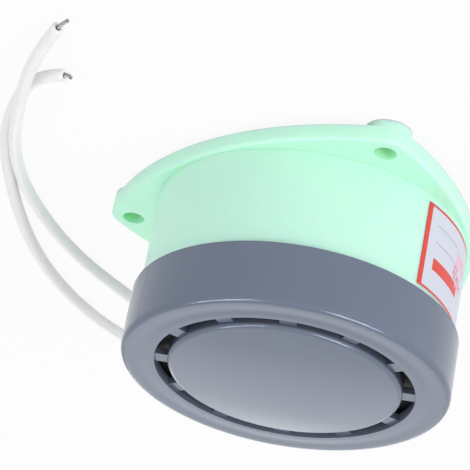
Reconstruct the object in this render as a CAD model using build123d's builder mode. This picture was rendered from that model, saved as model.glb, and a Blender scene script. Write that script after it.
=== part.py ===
"""Flange-mount alarm buzzer: a moulded housing with three lugs, a grille cap, and a piezo sounder inside.

Frame: +Z is the body's axis and points out of the grille. The origin lies on that axis, in the plane of
the three pads behind the lugs, so the buzzer rests on its pads with the grille up. Lengths are in mm.
"""

import math
import os

from build123d import *

# Lugs, pads and flange
LUG_COUNT = 3
LUG_ANGLE = 90.0  # direction of the first lug
LUG_REACH = 6.0  # from the wall's foot to the middle of a bolt hole
LUG_R = 5.0
LUG_HOLE_D = 4.8
PAD_R = 4.9
PAD_H = 1.8
FLANGE_REACH = 1.1  # from the wall's foot to the middle of a side
FLANGE_T = 3.5
FLANGE_EDGE_R = 0.9

# Housing wall, which tapers towards the cap
BODY_RIM_R = 33.7
BODY_TAPER = 0.3  # how much wider the wall's foot is than its rim
BODY_H = 22.6
WALL_T = 2.2
FLOOR_T = 2.5
SPIGOT_STEP = 0.7
SPIGOT_LEAD_IN = 0.4

# Grille cap
CAP_H = 13.7
CAP_LIP = 1.5  # how far the cap stands out beyond the housing
CAP_FACE_T = 2.2
CAP_EDGE_R = 1.2
CAP_FIT = 0.1
FACE_RIM_W = 7.3  # plain rim of the face, outside the slots
DISC_RISE = 0.43
DISC_DOME = 0.8
DISC_EDGE_R = 1.0
SLOT_W = 2.8
RIB_COUNT = 12
RIB_W = 3.5
RIB_DROP = 0.7
RIB_ANGLE = 20.4

# Sounder: a ring between housing and cap carries the brass disc at its rim
RING_H = 3.5
RING_W = 7.5
RING_STEP_GAP = 0.7  # the ring's step starts this far outside the slots
RING_LIP_T = 0.9
RING_LIP_DROP = 1.2
RING_SEAT_W = 1.6
BRASS_T = 0.3
CERAMIC_INSET = 7.5  # from the brass disc's edge to the ceramic's
CERAMIC_T = 0.25
SEAT_GAP = 0.1

# Driver board, its posts and screws
POST_COUNT = 3
POST_ANGLE = 30.0
POST_INSET = 4.0  # from the board's edge to the middle of a post
POST_R = 3.2
POST_H = 4.2
SCREW_D = 2.6
SCREW_L = 5.0
SCREW_FIT = 0.05
SCREW_HEAD_D = 4.8
SCREW_HEAD_H = 1.8
SCREW_HEAD_EDGE_R = 0.5
SCREW_SLOT_W = 0.6
BOARD_GAP = 2.5  # between the board's edge and the wall
BOARD_T = 1.6
PIN_D = 0.7
PIN_BELOW = 1.4
SOLDER_D = 2.0
SOLDER_H = 0.9
SOLDER_TIP = 0.15
LIFT = 0.3  # what stands on the board stays this far above it

# Board parts: size and place of each
CORE_D = 11.0
CORE_H = 13.0
CORE_FLANGE_T = 1.6
CORE_WAIST_D = 5.0
CORE_PITCH = 5.0
CORE_AT = (-9.0, -7.5)
COIL_D = 9.6
ELCAP_D = 8.0
ELCAP_H = 11.5
ELCAP_EDGE_R = 0.6
ELCAP_GROOVE_Z = 1.8
ELCAP_GROOVE_R = 0.4
ELCAP_PITCH = 3.5
ELCAP_AT = (9.5, -13.5)
FILM_L = 13.0
FILM_W = 6.0
FILM_H = 10.5
FILM_EDGE_R = 0.5
FILM_TOP_R = 0.4
FILM_PITCH = 10.0
FILM_AT = (6.5, 14.5)
VARISTOR_D = 9.0
VARISTOR_T = 3.6
VARISTOR_EDGE_R = 1.0
VARISTOR_LIFT = 2.0
VARISTOR_PITCH = 5.0
VARISTOR_AT = (17.5, 3.5)
TRANSISTOR_D = 4.8
TRANSISTOR_FLAT = 1.2
TRANSISTOR_H = 4.6
TRANSISTOR_LIFT = 3.0
TRANSISTOR_PITCH = 2.5
TRANSISTOR_AT = (-20.5, 3.5)
AXIAL_PITCH = 10.0
AXIAL_BEND_R = 1.0
DIODE_D = 2.7
DIODE_L = 5.2
DIODE_COUNT = 4
DIODE_STEP = 4.0
DIODE_AT = (-8.5, 14.0)
RESISTOR_D = 2.4
RESISTOR_WAIST_D = 2.0
RESISTOR_CAP_L = 1.4
RESISTOR_L = 6.4
RESISTOR_COUNT = 3
RESISTOR_STEP = 3.6
RESISTOR_AT = (4.4, -1.6)
CERAMIC_LINK_ANGLE = -104.5
CERAMIC_LINK_INSET = 1.5  # from the ceramic's edge
BRASS_LINK_ANGLE = -77.3
BRASS_LINK_INSET = 4.5  # from the brass disc's edge

# Supply leads
LEAD_OD = 2.7
LEAD_HOLE_D = 2.9
LEAD_RISE = 1.3  # a lead's middle runs this far above the board
LEAD_A_ANGLE = 50.0
LEAD_B_ANGLE = 59.5
LEAD_A_STRAIGHT = 14.0  # straight run outside the wall's foot
LEAD_B_STRAIGHT = 15.0
LEAD_INSIDE = 2.0  # how far a lead's cover reaches into the cavity
CORE_WIRE_D = 0.9
TERMINAL_INSET = 3.5  # from the board's edge to where a core goes in
BEND_SHARE = 0.45
TIP_RUN = 1.2

# Side label
LABEL_T = 0.12
LABEL_GLUE = 0.03
LABEL_FROM_FLANGE = 1.35
LABEL_FROM_CAP = 1.8
LABEL_START_ANGLE = 94.4
LABEL_ARC_ANGLE = 90.0

# Each side of the flange is an arc that touches the round ends of two lugs
body_base_r = BODY_RIM_R + BODY_TAPER
lug_circle_r = body_base_r + LUG_REACH
flange_mid_r = body_base_r + FLANGE_REACH
lug_side = lug_circle_r * math.sin(math.pi / LUG_COUNT)
lug_rise = flange_mid_r - lug_circle_r * math.cos(math.pi / LUG_COUNT)
side_r = (lug_side**2 + lug_rise**2 - LUG_R**2) / (2 * (lug_rise - LUG_R))

# Heights and radii that follow
flange_top = PAD_H + FLANGE_T
cap_rim_z = flange_top + BODY_H
face_z = cap_rim_z + CAP_H
cap_inner_z = face_z - CAP_FACE_T
spigot_top_z = cap_inner_z - SEAT_GAP - RING_H
spigot_r = BODY_RIM_R - SPIGOT_STEP
cavity_r = spigot_r - (WALL_T - SPIGOT_STEP)
cap_r = BODY_RIM_R + CAP_LIP
cap_bore_r = spigot_r + CAP_FIT
groove_r = cap_r - FACE_RIM_W
disc_r = groove_r - SLOT_W
ring_r = spigot_r - SPIGOT_LEAD_IN
ring_bore_r = ring_r - RING_W
ring_step_r = groove_r + RING_STEP_GAP
brass_r = ring_bore_r - SEAT_GAP
ceramic_r = brass_r - CERAMIC_INSET
board_r = cavity_r - BOARD_GAP
post_circle_r = board_r - POST_INSET
lead_inner_r = cavity_r - LEAD_INSIDE
terminal_r = board_r - TERMINAL_INSET
floor_z = PAD_H + FLOOR_T
board_z = floor_z + POST_H
board_top = board_z + BOARD_T
brass_z = spigot_top_z + RING_H - RING_LIP_DROP - RING_LIP_T - BRASS_T
ceramic_z = brass_z - CERAMIC_T
parts_z = board_top + LIFT
pin_end_z = board_z - PIN_BELOW
lead_z = board_top + LEAD_RISE


def wall_radius(height):
    """Outer radius of the housing wall at a height between the flange and the cap's rim."""
    return body_base_r - BODY_TAPER * (height - flange_top) / BODY_H


def pair(at, pitch):
    """Two pin places, a pitch apart along X, about a point on the board."""
    return [(at[0] - pitch / 2, at[1]), (at[0] + pitch / 2, at[1])]


def rows(at, count, step):
    """Middles of parts that lie side by side, a step apart along Y, about a point on the board."""
    return [(at[0], at[1] + (index - (count - 1) / 2) * step) for index in range(count)]


def outward(angle):
    """Level unit vector that points away from the body's axis at an angle."""
    return Vector(1, 0, 0).rotate(Axis.Z, angle)


def board_place(angle, radius):
    """Place on the board at an angle and a distance from its middle."""
    spot = outward(angle) * radius
    return (spot.X, spot.Y)


def lead_point(angle, radius):
    """Point on the straight, level way that a lead takes through the housing wall."""
    return Vector(*board_place(angle, radius), lead_z)


def save(piece, label):
    """Names a finished piece and writes its STEP file."""
    piece.label = label
    export_step(piece, f"parts/{label}.step")


os.makedirs("parts", exist_ok=True)

# Housing: cup with closed back, flange with three lugs, pads behind the lugs, board posts inside
with BuildPart() as housing:
    with BuildSketch(Plane.XY.offset(PAD_H)) as flange:
        Circle(side_r)
        for index in range(LUG_COUNT):
            with Locations(outward(LUG_ANGLE + (index + 0.5) * 360 / LUG_COUNT) * (flange_mid_r - side_r)):
                Circle(side_r, mode=Mode.INTERSECT)
        fillet(flange.vertices(), LUG_R)
    extrude(amount=FLANGE_T)
    fillet(housing.faces().sort_by(Axis.Z)[-1].outer_wire().edges(), FLANGE_EDGE_R)
    with BuildSketch(Plane.XY):
        with PolarLocations(lug_circle_r, LUG_COUNT, LUG_ANGLE):
            Circle(PAD_R)
    extrude(amount=PAD_H)
    with BuildSketch(Plane.XZ):
        with BuildLine():
            Polyline(
                (0, flange_top - FLANGE_T / 2),
                (body_base_r, flange_top - FLANGE_T / 2),
                (body_base_r, flange_top),
                (BODY_RIM_R, cap_rim_z),
                (spigot_r, cap_rim_z),
                (spigot_r, spigot_top_z - SPIGOT_LEAD_IN),
                (spigot_r - SPIGOT_LEAD_IN, spigot_top_z),
                (0, spigot_top_z),
                close=True,
            )
        make_face()
    revolve(axis=Axis.Z)
    with BuildSketch(Plane.XY.offset(floor_z)):
        Circle(cavity_r)
    extrude(amount=spigot_top_z - floor_z, mode=Mode.SUBTRACT)
    with BuildSketch(Plane.XY.offset(floor_z)):
        with PolarLocations(post_circle_r, POST_COUNT, POST_ANGLE):
            Circle(POST_R)
    extrude(amount=POST_H)
    with BuildSketch(Plane.XY.offset(floor_z)):
        with PolarLocations(post_circle_r, POST_COUNT, POST_ANGLE):
            Circle(SCREW_D / 2 + SCREW_FIT)
    extrude(amount=POST_H, mode=Mode.SUBTRACT)
    with Locations((0, 0, flange_top)):
        with PolarLocations(lug_circle_r, LUG_COUNT, LUG_ANGLE):
            Hole(LUG_HOLE_D / 2)
    for angle in (LEAD_A_ANGLE, LEAD_B_ANGLE):
        with BuildSketch(Plane(origin=lead_point(angle, lead_inner_r), z_dir=outward(angle))):
            Circle(LEAD_HOLE_D / 2)
        extrude(amount=lug_circle_r - lead_inner_r, mode=Mode.SUBTRACT)
save(housing.part, "housing")

# Grille cap: skirt over the housing's spigot, open ring of slots around a raised disc, sunk ribs
with BuildPart() as grille_cap:
    with BuildSketch(Plane.XZ):
        with BuildLine():
            Polyline(
                (0, cap_inner_z),
                (cap_bore_r, cap_inner_z),
                (cap_bore_r, cap_rim_z),
                (cap_r, cap_rim_z),
                (cap_r, face_z),
                (disc_r, face_z),
                (disc_r, face_z + DISC_RISE),
            )
            ThreePointArc(
                (disc_r, face_z + DISC_RISE),
                (disc_r / 2, face_z + DISC_RISE + DISC_DOME * 3 / 4),
                (0, face_z + DISC_RISE + DISC_DOME),
            )
            Line((0, face_z + DISC_RISE + DISC_DOME), (0, cap_inner_z))
        make_face()
    revolve(axis=Axis.Z)
    with BuildSketch(Plane.XY.offset(face_z - RIB_DROP)):
        Circle(groove_r)
        Circle(disc_r, mode=Mode.SUBTRACT)
    extrude(amount=RIB_DROP + DISC_RISE, mode=Mode.SUBTRACT)
    for radius, rounding in ((cap_r, CAP_EDGE_R), (disc_r, DISC_EDGE_R)):
        rims = grille_cap.edges().filter_by(GeomType.CIRCLE)
        fillet(rims.filter_by(lambda rim: abs(rim.radius - radius) < 0.01).sort_by(Axis.Z)[-1], rounding)
    with BuildSketch(Plane.XY.offset(cap_inner_z)):
        Circle(groove_r)
        Circle(disc_r, mode=Mode.SUBTRACT)
        with PolarLocations(disc_r + SLOT_W / 2, RIB_COUNT, RIB_ANGLE):
            Rectangle(2 * SLOT_W, RIB_W, mode=Mode.SUBTRACT)
    extrude(amount=CAP_FACE_T - RIB_DROP, mode=Mode.SUBTRACT)
save(grille_cap.part, "grille_cap")

# Side label: thin wrap that follows the wall's taper
label_low = flange_top + LABEL_FROM_FLANGE
label_high = cap_rim_z - LABEL_FROM_CAP
label_low_r = wall_radius(label_low) + LABEL_GLUE
label_high_r = wall_radius(label_high) + LABEL_GLUE

with BuildPart() as side_label:
    with BuildSketch(Plane.XZ.rotated((0, 0, LABEL_START_ANGLE))):
        with BuildLine():
            Polyline(
                (label_low_r, label_low),
                (label_low_r + LABEL_T, label_low),
                (label_high_r + LABEL_T, label_high),
                (label_high_r, label_high),
                close=True,
            )
        make_face()
    revolve(axis=Axis.Z, revolution_arc=LABEL_ARC_ANGLE)
save(side_label.part, "side_label")

# Sounder ring: stands on the spigot, holds the brass disc under its lip, lets sound out to the slots
lip_z = brass_z + BRASS_T
lip_r = brass_r - RING_SEAT_W

with BuildPart() as sounder_ring:
    with BuildSketch(Plane.XZ):
        with BuildLine():
            Polyline(
                (ring_bore_r, spigot_top_z),
                (ring_r, spigot_top_z),
                (ring_r, spigot_top_z + RING_H),
                (ring_step_r, spigot_top_z + RING_H),
                (ring_step_r, lip_z + RING_LIP_T),
                (lip_r, lip_z + RING_LIP_T),
                (lip_r, lip_z),
                (ring_bore_r, lip_z),
                close=True,
            )
        make_face()
    revolve(axis=Axis.Z)
save(sounder_ring.part, "sounder_ring")

with BuildPart() as brass_disc:
    with BuildSketch(Plane.XY.offset(brass_z)):
        Circle(brass_r)
    extrude(amount=BRASS_T)
save(brass_disc.part, "brass_disc")

with BuildPart() as piezo_ceramic:
    with BuildSketch(Plane.XY.offset(ceramic_z)):
        Circle(ceramic_r)
    extrude(amount=CERAMIC_T)
save(piezo_ceramic.part, "piezo_ceramic")

# Places of every pin that goes through the board
diode_rows = rows(DIODE_AT, DIODE_COUNT, DIODE_STEP)
resistor_rows = rows(RESISTOR_AT, RESISTOR_COUNT, RESISTOR_STEP)
transistor_pins = [(TRANSISTOR_AT[0], TRANSISTOR_AT[1] + side * TRANSISTOR_PITCH) for side in (-1, 0, 1)]
varistor_pins = [(VARISTOR_AT[0], VARISTOR_AT[1] + side * VARISTOR_PITCH / 2) for side in (-1, 1)]
axial_pins = [pin for middle in diode_rows + resistor_rows for pin in pair(middle, AXIAL_PITCH)]
ceramic_link = board_place(CERAMIC_LINK_ANGLE, ceramic_r - CERAMIC_LINK_INSET)
brass_link = board_place(BRASS_LINK_ANGLE, brass_r - BRASS_LINK_INSET)
part_pins = (
    pair(CORE_AT, CORE_PITCH)
    + pair(ELCAP_AT, ELCAP_PITCH)
    + pair(FILM_AT, FILM_PITCH)
    + varistor_pins
    + transistor_pins
    + axial_pins
    + [ceramic_link, brass_link]
)
lead_angles = (LEAD_A_ANGLE, LEAD_B_ANGLE)
terminals = [board_place(angle, terminal_r) for angle in lead_angles]


def pin_sections(places):
    """Round pin sections at the height where pins end under the board."""
    with BuildSketch(Plane.XY.offset(pin_end_z)) as sections:
        with Locations(*places):
            Circle(PIN_D / 2)
    return sections.sketch


def bent_lead(middle, height):
    """Path of one wire bent down into the board at both ends of a part that lies along X."""
    (left, y), (right, _) = pair(middle, AXIAL_PITCH)
    corners = [(left, y, pin_end_z), (left, y, height), (right, y, height), (right, y, pin_end_z)]
    with BuildLine() as path:
        FilletPolyline(*corners, radius=AXIAL_BEND_R)
    return path.line


# Circuit board with its screw and pin holes
with BuildPart() as circuit_board:
    with BuildSketch(Plane.XY.offset(board_z)):
        Circle(board_r)
        with PolarLocations(post_circle_r, POST_COUNT, POST_ANGLE):
            Circle(SCREW_D / 2 + SEAT_GAP, mode=Mode.SUBTRACT)
        with Locations(*part_pins):
            Circle(PIN_D / 2 + SEAT_GAP, mode=Mode.SUBTRACT)
        with Locations(*terminals):
            Circle(CORE_WIRE_D / 2 + SEAT_GAP, mode=Mode.SUBTRACT)
    extrude(amount=BOARD_T)
save(circuit_board.part, "circuit_board")

# Board screws: slotted pan heads, one in each post
with BuildPart() as board_screws:
    with BuildSketch(Plane.XY.offset(board_top)):
        with PolarLocations(post_circle_r, POST_COUNT, POST_ANGLE):
            Circle(SCREW_HEAD_D / 2)
    extrude(amount=SCREW_HEAD_H)
    fillet(board_screws.faces().group_by(Axis.Z)[-1].edges(), SCREW_HEAD_EDGE_R)
    with BuildSketch(Plane.XY.offset(board_top + SCREW_HEAD_H)):
        with PolarLocations(post_circle_r, POST_COUNT, POST_ANGLE):
            Rectangle(SCREW_HEAD_D, SCREW_SLOT_W)
    extrude(amount=-SCREW_HEAD_H / 2, mode=Mode.SUBTRACT)
    with BuildSketch(Plane.XY.offset(board_top)):
        with PolarLocations(post_circle_r, POST_COUNT, POST_ANGLE):
            Circle(SCREW_D / 2)
    extrude(amount=-SCREW_L)
save(board_screws.part, "board_screws")

# Step-up coil: drum core on two pins, winding between its flanges
core_axis = Axis((*CORE_AT, 0), (0, 0, 1))
core_plane = Plane(origin=(*CORE_AT, parts_z), x_dir=(1, 0, 0), z_dir=(0, -1, 0))

with BuildPart() as drum_core:
    with BuildSketch(core_plane):
        with BuildLine():
            Polyline(
                (0, 0),
                (CORE_D / 2, 0),
                (CORE_D / 2, CORE_FLANGE_T),
                (CORE_WAIST_D / 2, CORE_FLANGE_T),
                (CORE_WAIST_D / 2, CORE_H - CORE_FLANGE_T),
                (CORE_D / 2, CORE_H - CORE_FLANGE_T),
                (CORE_D / 2, CORE_H),
                (0, CORE_H),
                close=True,
            )
        make_face()
    revolve(axis=core_axis)
    extrude(pin_sections(pair(CORE_AT, CORE_PITCH)), amount=parts_z - pin_end_z)
save(drum_core.part, "drum_core")

with BuildPart() as coil_winding:
    with BuildSketch(Plane.XY.offset(parts_z + CORE_FLANGE_T)):
        with Locations(CORE_AT):
            Circle(COIL_D / 2)
            Circle(CORE_WAIST_D / 2, mode=Mode.SUBTRACT)
    extrude(amount=CORE_H - 2 * CORE_FLANGE_T)
save(coil_winding.part, "coil_winding")

# Electrolytic capacitor: rounded can with a crimped groove
can_axis = Axis((*ELCAP_AT, 0), (0, 0, 1))
can_plane = Plane(origin=(*ELCAP_AT, parts_z), x_dir=(1, 0, 0), z_dir=(0, -1, 0))

with BuildPart() as electrolytic_capacitor:
    with BuildSketch(can_plane):
        with BuildLine():
            Line((0, 0), (ELCAP_D / 2, 0))
            Line((ELCAP_D / 2, 0), (ELCAP_D / 2, ELCAP_GROOVE_Z - ELCAP_GROOVE_R))
            ThreePointArc(
                (ELCAP_D / 2, ELCAP_GROOVE_Z - ELCAP_GROOVE_R),
                (ELCAP_D / 2 - ELCAP_GROOVE_R, ELCAP_GROOVE_Z),
                (ELCAP_D / 2, ELCAP_GROOVE_Z + ELCAP_GROOVE_R),
            )
            Line((ELCAP_D / 2, ELCAP_GROOVE_Z + ELCAP_GROOVE_R), (ELCAP_D / 2, ELCAP_H - ELCAP_EDGE_R))
            RadiusArc(
                (ELCAP_D / 2, ELCAP_H - ELCAP_EDGE_R),
                (ELCAP_D / 2 - ELCAP_EDGE_R, ELCAP_H),
                -ELCAP_EDGE_R,
            )
            Polyline((ELCAP_D / 2 - ELCAP_EDGE_R, ELCAP_H), (0, ELCAP_H), (0, 0))
        make_face()
    revolve(axis=can_axis)
    extrude(pin_sections(pair(ELCAP_AT, ELCAP_PITCH)), amount=parts_z - pin_end_z)
save(electrolytic_capacitor.part, "electrolytic_capacitor")

# Film capacitor: boxed block on two pins
with BuildPart() as film_capacitor:
    with BuildSketch(Plane.XY.offset(parts_z)):
        with Locations(FILM_AT):
            RectangleRounded(FILM_L, FILM_W, FILM_EDGE_R)
    extrude(amount=FILM_H)
    fillet(film_capacitor.faces().sort_by(Axis.Z)[-1].edges(), FILM_TOP_R)
    extrude(pin_sections(pair(FILM_AT, FILM_PITCH)), amount=parts_z - pin_end_z)
save(film_capacitor.part, "film_capacitor")

# Surge-stop disc on edge, on two pins
varistor_z = parts_z + VARISTOR_LIFT + VARISTOR_D / 2

with BuildPart() as surge_stopper:
    with BuildSketch(Plane.YZ.offset(VARISTOR_AT[0] - VARISTOR_T / 2)):
        with Locations((VARISTOR_AT[1], varistor_z)):
            Circle(VARISTOR_D / 2)
    extrude(amount=VARISTOR_T)
    fillet(surge_stopper.edges().filter_by(GeomType.CIRCLE), VARISTOR_EDGE_R)
    extrude(pin_sections(varistor_pins), amount=varistor_z - pin_end_z)
save(surge_stopper.part, "surge_stopper")

# Transistor: round body with one flat side, on three pins
with BuildPart() as transistor:
    with BuildSketch(Plane.XY.offset(parts_z + TRANSISTOR_LIFT)):
        with Locations(TRANSISTOR_AT):
            Circle(TRANSISTOR_D / 2)
        with Locations((TRANSISTOR_AT[0] + TRANSISTOR_FLAT + TRANSISTOR_D / 2, TRANSISTOR_AT[1])):
            Rectangle(TRANSISTOR_D, TRANSISTOR_D, mode=Mode.SUBTRACT)
    extrude(amount=TRANSISTOR_H)
    extrude(pin_sections(transistor_pins), amount=parts_z + TRANSISTOR_LIFT - pin_end_z)
save(transistor.part, "transistor")

# Rectifier diodes: four alike, side by side
diode_z = parts_z + DIODE_D / 2

with BuildPart() as rectifier_diodes:
    with BuildSketch(Plane.YZ.offset(DIODE_AT[0] - DIODE_L / 2)):
        with Locations(*[(y, diode_z) for _, y in diode_rows]):
            Circle(DIODE_D / 2)
    extrude(amount=DIODE_L)
    for middle in diode_rows:
        sweep(pin_sections([pair(middle, AXIAL_PITCH)[0]]), path=bent_lead(middle, diode_z))
save(rectifier_diodes.part, "rectifier_diodes")

# Resistors: a waist between two end caps
resistor_z = parts_z + RESISTOR_D / 2

with BuildPart() as resistors:
    for start, length, diameter in (
        (-RESISTOR_L / 2, RESISTOR_CAP_L, RESISTOR_D),
        (-RESISTOR_L / 2 + RESISTOR_CAP_L, RESISTOR_L - 2 * RESISTOR_CAP_L, RESISTOR_WAIST_D),
        (RESISTOR_L / 2 - RESISTOR_CAP_L, RESISTOR_CAP_L, RESISTOR_D),
    ):
        with BuildSketch(Plane.YZ.offset(RESISTOR_AT[0] + start)):
            with Locations(*[(y, resistor_z) for _, y in resistor_rows]):
                Circle(diameter / 2)
        extrude(amount=length)
    for middle in resistor_rows:
        sweep(pin_sections([pair(middle, AXIAL_PITCH)[0]]), path=bent_lead(middle, resistor_z))
save(resistors.part, "resistors")

# Two stiff wires that link the board with the brass disc and with the ceramic
with BuildPart() as sounder_links:
    extrude(pin_sections([ceramic_link]), amount=ceramic_z - pin_end_z)
    extrude(pin_sections([brass_link]), amount=brass_z - pin_end_z)
save(sounder_links.part, "sounder_links")

# Solder joints: a cone round every pin and lead core under the board
with BuildPart() as solder_joints:
    for places, bore in ((part_pins, PIN_D), (terminals, CORE_WIRE_D)):
        with Locations(*[(x, y, board_z - SOLDER_H / 2) for x, y in places]):
            Cone(bore / 2 + SOLDER_TIP, SOLDER_D / 2, SOLDER_H)
        with BuildSketch(Plane.XY.offset(board_z - SOLDER_H)):
            with Locations(*places):
                Circle(bore / 2)
        extrude(amount=SOLDER_H, mode=Mode.SUBTRACT)
save(solder_joints.part, "solder_joints")

# Supply leads: routes from the bare end to the board, lying on the ground and rising behind the body
LEAD_A_ROUTE = [
    (3.0, -80.5, 1.4),
    (14.5, -75.0, 2.6),
    (26.5, -66.0, 5.4),
    (43.5, -51.0, 2.3),
    (56.0, -32.5, 1.4),
    (64.5, -8.5, 1.4),
    (66.5, 15.5, 1.4),
    (66.0, 33.5, 2.4),
    (59.5, 50.0, 6.0),
    (43.7, 52.1, 9.8),
    lead_point(LEAD_A_ANGLE, body_base_r + LEAD_A_STRAIGHT),
    lead_point(LEAD_A_ANGLE, lead_inner_r),
]
LEAD_B_ROUTE = [
    (13.0, -67.5, 2.1),
    (21.5, -67.5, 1.4),
    (33.0, -63.0, 1.4),
    (46.0, -52.0, 1.4),
    (62.5, -31.0, 1.4),
    (76.0, -8.5, 1.4),
    (83.0, 12.5, 1.4),
    (82.5, 33.0, 1.4),
    (76.0, 53.0, 3.0),
    (60.0, 64.5, 6.5),
    (35.5, 60.3, 9.8),
    lead_point(LEAD_B_ANGLE, body_base_r + LEAD_B_STRAIGHT),
    lead_point(LEAD_B_ANGLE, lead_inner_r),
]
TIP_A_END = (-1.2, -81.95, 1.2)
TIP_B_END = (11.1, -67.05, 3.2)


def corner_radii(points):
    """Bend radius at each inner point of a route, as large as the two runs beside it allow."""
    radii = []
    spots = [Vector(*point) for point in points]
    for before, corner, after in zip(spots, spots[1:], spots[2:]):
        arriving, leaving = corner - before, after - corner
        half_turn = math.radians(arriving.get_angle(leaving) / 2)
        radii.append(BEND_SHARE * min(arriving.length, leaving.length) / math.tan(half_turn))
    return radii


def tip_route(route, end):
    """Route of a bare core that goes straight on from a lead's end face and then bends to its own end."""
    start, inner = Vector(*route[0]), Vector(*route[1])
    return [start, start + (start - inner).normalized() * TIP_RUN, end]


def route_line(points):
    """Straight runs joined by tangent arcs."""
    with BuildLine() as route:
        FilletPolyline(*points, radius=corner_radii(points))
    return route.wire()


def tube(line, diameter):
    """Round section swept along a route."""
    with BuildPart() as swept:
        with BuildSketch(Plane(origin=line @ 0, z_dir=line % 0)):
            Circle(diameter / 2)
        sweep(path=line)
    return swept.part


for label, points in (("lead_wire_a", LEAD_A_ROUTE), ("lead_wire_b", LEAD_B_ROUTE)):
    line = route_line(points)
    wire = tube(line, LEAD_OD)
    plain_volume = math.pi * LEAD_OD**2 / 4 * line.length
    print(label, "length", round(line.length, 1), "volume share", round(wire.volume / plain_volume, 4))
    print(label, "radii", [round(radius, 1) for radius in corner_radii(points)])
    save(wire, label)

# Bare ends of the lead cores: the free tips, and the ends that turn down into the board
for label, route, end in (("lead_tip_a", LEAD_A_ROUTE, TIP_A_END), ("lead_tip_b", LEAD_B_ROUTE, TIP_B_END)):
    save(tube(route_line(tip_route(route, end)), CORE_WIRE_D), label)

with BuildPart() as lead_terminals:
    for angle in lead_angles:
        start, bend = lead_point(angle, lead_inner_r), lead_point(angle, terminal_r)
        with BuildLine() as core:
            FilletPolyline(start, bend, (bend.X, bend.Y, pin_end_z), radius=AXIAL_BEND_R)
        with BuildSketch(Plane(origin=start, z_dir=-outward(angle))):
            Circle(CORE_WIRE_D / 2)
        sweep(path=core.line)
save(lead_terminals.part, "lead_terminals")
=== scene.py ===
"""Looks of a flange-mount alarm buzzer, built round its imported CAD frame.

Lengths are in metres and angles in degrees. +Z is the axis, and leaves the buzzer through its grille.
"""

import math
import random

import bmesh
import bpy
from bpy.props import FloatProperty, FloatVectorProperty, IntProperty, PointerProperty
from mathutils import Matrix, Vector, noise


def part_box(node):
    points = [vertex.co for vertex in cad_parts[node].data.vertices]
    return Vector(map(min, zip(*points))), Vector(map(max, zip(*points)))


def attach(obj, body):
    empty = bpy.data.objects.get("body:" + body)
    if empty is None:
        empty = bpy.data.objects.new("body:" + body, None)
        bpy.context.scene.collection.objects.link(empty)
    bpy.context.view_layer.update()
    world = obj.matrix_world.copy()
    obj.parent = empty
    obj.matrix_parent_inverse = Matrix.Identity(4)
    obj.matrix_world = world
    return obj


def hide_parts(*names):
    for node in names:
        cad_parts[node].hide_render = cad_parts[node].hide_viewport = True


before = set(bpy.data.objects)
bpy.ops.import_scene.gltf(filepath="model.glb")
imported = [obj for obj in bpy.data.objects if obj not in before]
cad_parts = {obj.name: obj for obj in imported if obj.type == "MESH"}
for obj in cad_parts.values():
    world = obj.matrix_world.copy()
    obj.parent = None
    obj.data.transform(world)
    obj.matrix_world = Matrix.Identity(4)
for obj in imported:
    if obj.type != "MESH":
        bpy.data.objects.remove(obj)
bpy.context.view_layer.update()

bl_info = {
    "name": "Alarm buzzer",
    "version": (1, 0, 0),
    "blender": (4, 5, 0),
    "location": "3D View > Sidebar > Buzzer",
    "description": "Dresses the buzzer's solids and sets up its stage",
    "category": "Object",
}

# The part's one body
BODY = "root"

# Where the leads run, from the bare end to the board
LEAD_ROUTES = {
    "a": [
        (0.0030, -0.0805, 0.0014),
        (0.0138, -0.0760, 0.0026),
        (0.0268, -0.0660, 0.0054),
        (0.0437, -0.0507, 0.0029),
        (0.0564, -0.0330, 0.0014),
        (0.0654, -0.0082, 0.0014),
        (0.0669, 0.0154, 0.0014),
        (0.0655, 0.0335, 0.0024),
        (0.0595, 0.0500, 0.0060),
        (0.0437, 0.0521, 0.0098),
        (0.03085, 0.03677, 0.0114),
        (0.01896, 0.02260, 0.0114),
    ],
    "b": [
        (0.0130, -0.0675, 0.0021),
        (0.0199, -0.0695, 0.0014),
        (0.0328, -0.0626, 0.0014),
        (0.0452, -0.0526, 0.0014),
        (0.0625, -0.0308, 0.0014),
        (0.0757, -0.0085, 0.0014),
        (0.0824, 0.0130, 0.0014),
        (0.0829, 0.0326, 0.0014),
        (0.0751, 0.0529, 0.0030),
        (0.0600, 0.0645, 0.0065),
        (0.0355, 0.0603, 0.0098),
        (0.02487, 0.04222, 0.0114),
        (0.01497, 0.02542, 0.0114),
    ],
}
# Where each lead's strands end
TIP_ENDS = {"a": (-0.0012, -0.08195, 0.0018), "b": (0.0111, -0.06705, 0.0032)}

# Bare strands: share of the bore's depth at which they start, how far they go straight on from the cut,
# their count, and the sides and spacing of their rings
STRAND_START = 0.9
KNEE = 0.0012
STRANDS = 7
STRAND_SIDES = 10
STRAND_STEP = 0.00012

# Greatest shift of a strand's place, in radians, and of its cut end, distance of the outer strands from the
# middle one, in strand radii, and the share by which they open towards the cut
UNEVEN_TURN = 0.12
UNEVEN_CUT = 0.00045
LAY_SPREAD = 2.02
CUT_FLARE = 0.16

# Ragged cut of a lead's cover: how unlike the rings are, and how fast the raggedness goes round
RAG_SPREAD = 9000
RAG_SCALE = 1.7

# Share by which a lead's cover gets thinner in places, and how fast that comes and goes
SWELL = 0.012
SWELL_SCALE = 160

# Cool cast of the cap's gloss, and the sink round its face
COOL_GLOSS = (0.7, 0.83, 1.0, 1.0)
SINK_R = 0.0311
SINK_HALF_W = 0.0024
SINK_DEPTH = 0.00006

# Mould line down the cap's side, which starts a little way in from its widest radius
SEAM_TURN = -67.0
SEAM_HALF_W = 0.00018
SEAM_DEPTH = 0.00008
SEAM_INSET = 0.001
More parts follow.
